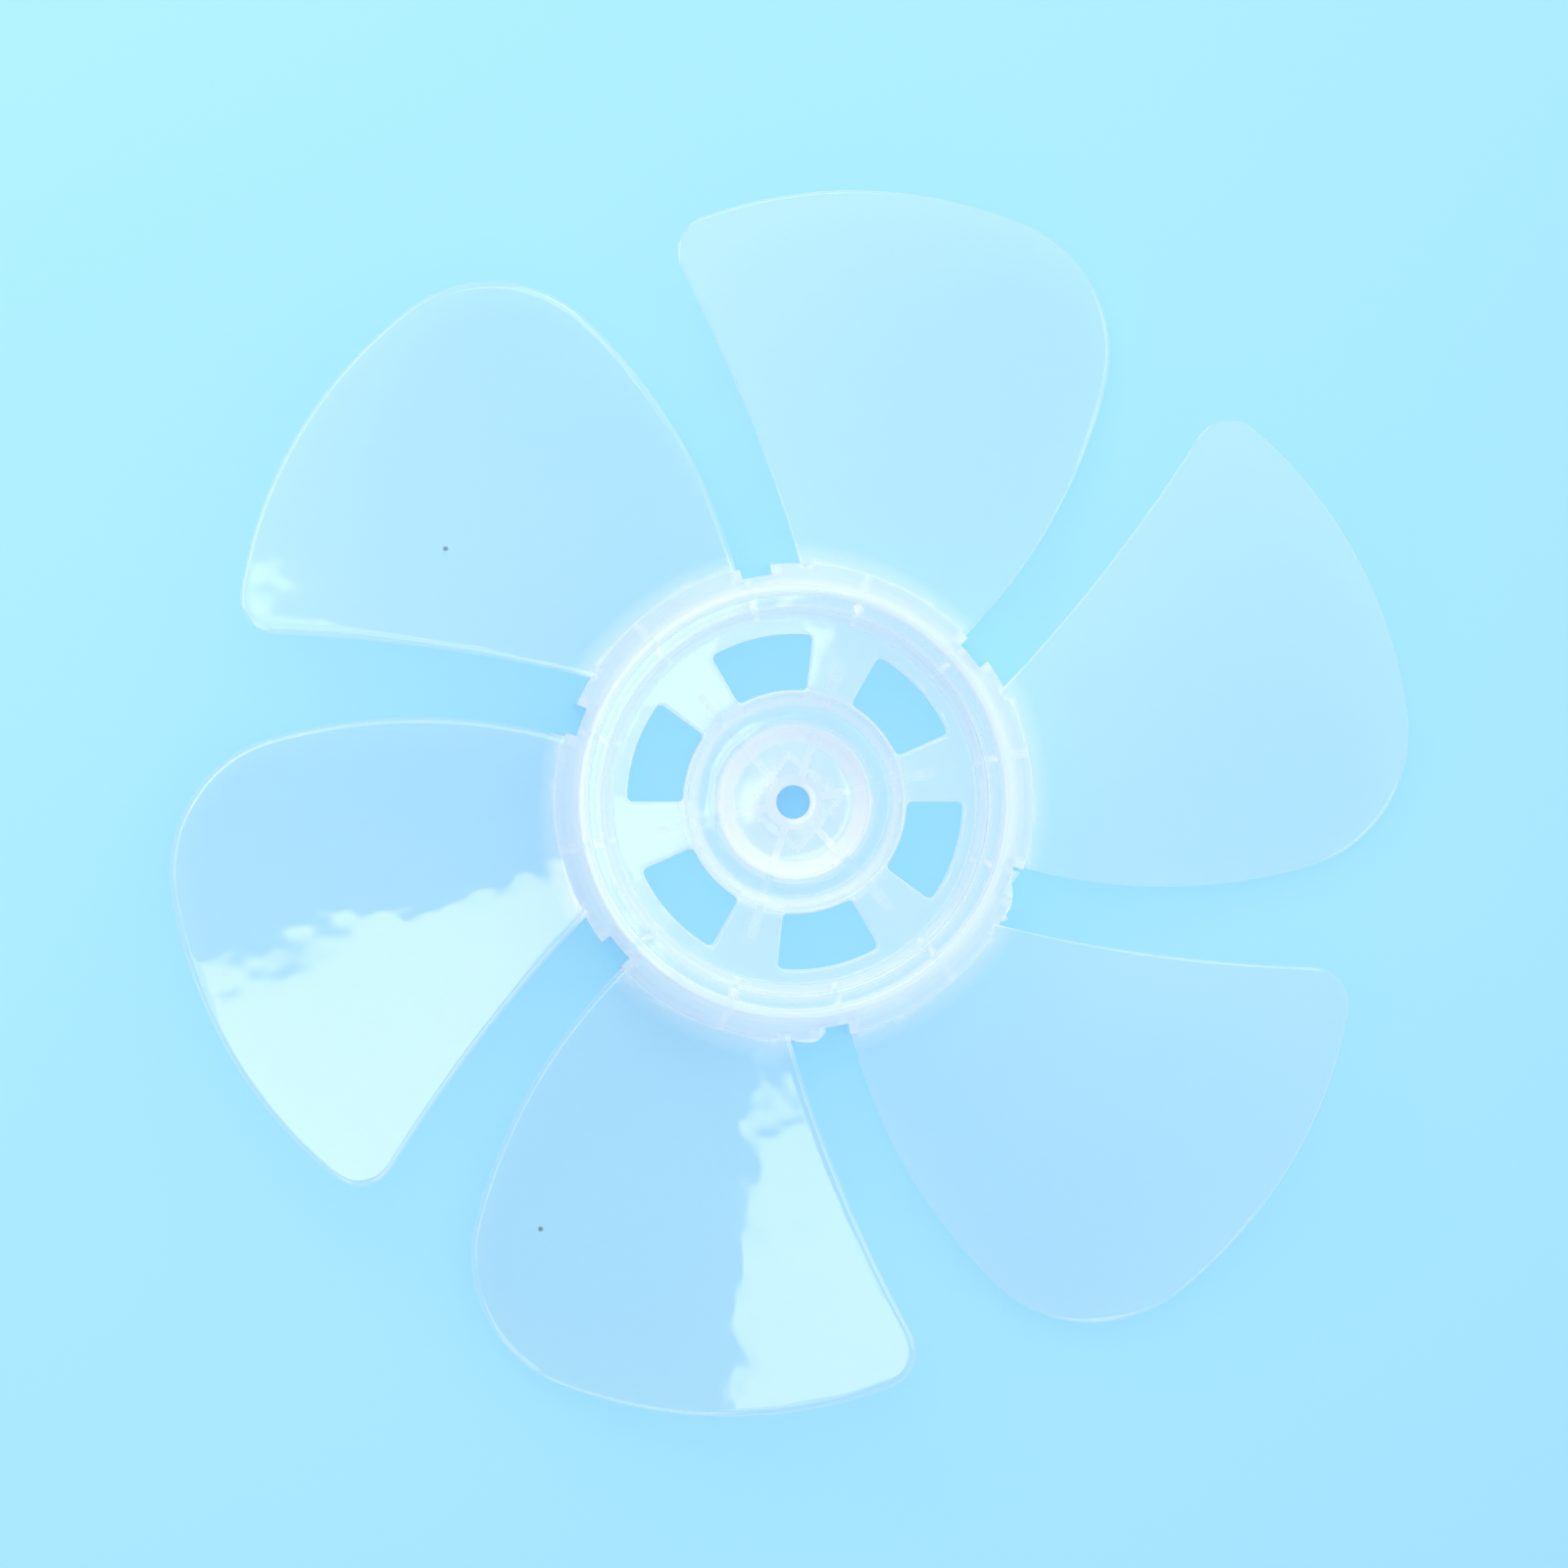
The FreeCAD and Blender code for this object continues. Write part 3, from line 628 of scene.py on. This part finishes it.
# Sheet: the plain matt surface of pale blue that the moulding lies on.
# It lies a hair lower than the skirt's rim, so that the two don't share a plane.
sheet_reach, sheet_drop = 4.0, 0.1 * mm
sheet_colour, sheet_roughness = (0.33, 0.685, 0.89, 1), 0.8
sheet_mesh = bpy.data.meshes.new("sheet")
sheet_corners = [(sheet_reach * x, sheet_reach * y, -sheet_drop) for x, y in corner_signs]
sheet_mesh.from_pydata(sheet_corners, [], [(0, 1, 2, 3)])
sheet = bpy.data.objects.new("sheet", sheet_mesh)
bpy.context.scene.collection.objects.link(sheet)
sheet_finish = bpy.data.materials.new("pale_sheet")
sheet_finish.use_nodes = True
sheet_shader = sheet_finish.node_tree.nodes["Principled BSDF"]
sheet_shader.inputs["Base Color"].default_value = sheet_colour
sheet_shader.inputs["Roughness"].default_value = sheet_roughness
sheet_shader.inputs["Specular IOR Level"].default_value = 0.0
sheet_mesh.materials.append(sheet_finish)

# Light and view: soft studio light from the upper left, and a camera almost straight above.
# The hub's +X spoke points a little above the picture's right.
spin = math.radians(-12)
lamp_height = 1.2
warm_light, warmer_light = (1.0, 0.92, 0.90), (1.0, 0.88, 0.84)
# Strength of the room's own light at the picture's left and right.
room_left, room_right = 0.28, 1.36
picture_right = Vector((math.cos(spin), math.sin(spin), 0))
picture_up = Vector((-math.sin(spin), math.cos(spin), 0))


def studio_place(right, up, height):
    """A place given along the picture's right and up and the height above the sheet."""
    return picture_right * right + picture_up * up + Vector((0, 0, height))


def facing(place, target, upward):
    """The matrix of a camera or lamp that looks from a place to a target."""
    back = (place - target).normalized()
    right = upward.cross(back).normalized()
    turn = Matrix((right, back.cross(right), back)).transposed()
    return Matrix.Translation(place) @ turn.to_4x4()


def softbox(name, left_right, down_up, radiance, turn=0, warmth=(1, 1, 1)):
    """A soft lamp that hangs level over the sheet, with its reach in the picture's right and up."""
    lamp = bpy.data.lights.new(name, "AREA")
    lamp.color = warmth
    lamp.shape = "RECTANGLE"
    lamp.size, lamp.size_y = left_right[1] - left_right[0], down_up[1] - down_up[0]
    lamp.energy = radiance * math.pi * lamp.size * lamp.size_y
    holder = bpy.data.objects.new(name, lamp)
    middle = studio_place(sum(left_right) / 2, sum(down_up) / 2, lamp_height)
    holder.matrix_world = Matrix.Translation(middle) @ Matrix.Rotation(spin + math.radians(turn), 4, "Z")
    bpy.context.scene.collection.objects.link(holder)


softbox("upper_softbox", (-1.20, -0.20), (0.65, 2.10), radiance=3.0, warmth=warmer_light)
softbox("left_softbox", (-1.45, -0.95), (-0.36, 0.30), radiance=2.6, warmth=warm_light)
softbox("right_softbox", (0.35, 1.30), (1.29, 2.00), radiance=2.4)
softbox("overhead_softbox", (-0.348, 0.112), (-0.152, 0.674), radiance=2.8, turn=-28, warmth=warm_light)
world = bpy.data.worlds.new("studio")
world.use_nodes = True
room = world.node_tree
room_way = room.nodes.new("ShaderNodeTexCoord").outputs["Generated"]
rightness = room.nodes.new("ShaderNodeVectorMath")
rightness.operation = "DOT_PRODUCT"
rightness.inputs[1].default_value = picture_right
room.links.new(room_way, rightness.inputs[0])
room_light = room.nodes.new("ShaderNodeMapRange")
room.links.new(rightness.outputs["Value"], room_light.inputs["Value"])
room_span = {"From Min": -1.0, "From Max": 1.0, "To Min": room_left, "To Max": room_right}
for socket, value in room_span.items():
    room_light.inputs[socket].default_value = value
room.nodes["Background"].inputs["Color"].default_value = (1, 1, 1, 1)
room.links.new(room_light.outputs[0], room.nodes["Background"].inputs["Strength"])
world.cycles.sampling_method = "NONE"
bpy.context.scene.world = world

# The lens follows from the photo's focal length and width in pixels.
camera_height, photo_focus, photo_width = 0.9, 3800, 1600
lens = bpy.data.cameras.new("camera")
lens.sensor_width = 36.0
lens.lens = lens.sensor_width * photo_focus / photo_width
camera = bpy.data.objects.new("camera", lens)
camera_place = studio_place(-0.028, -0.007, camera_height)
camera_target = studio_place(-0.0022, 0.0043, floor_height * mm)
camera.matrix_world = facing(camera_place, camera_target, picture_up)
bpy.context.scene.collection.objects.link(camera)
bpy.context.scene.camera = camera
bpy.context.scene.view_settings.view_transform = "Standard"
# Sight runs straight through many walls, while light is thrown back from few.
cycles = bpy.context.scene.cycles
cycles.transparent_max_bounces = 24
cycles.max_bounces = 6
cycles.diffuse_bounces = 4
cycles.glossy_bounces = 2
cycles.use_light_tree = False
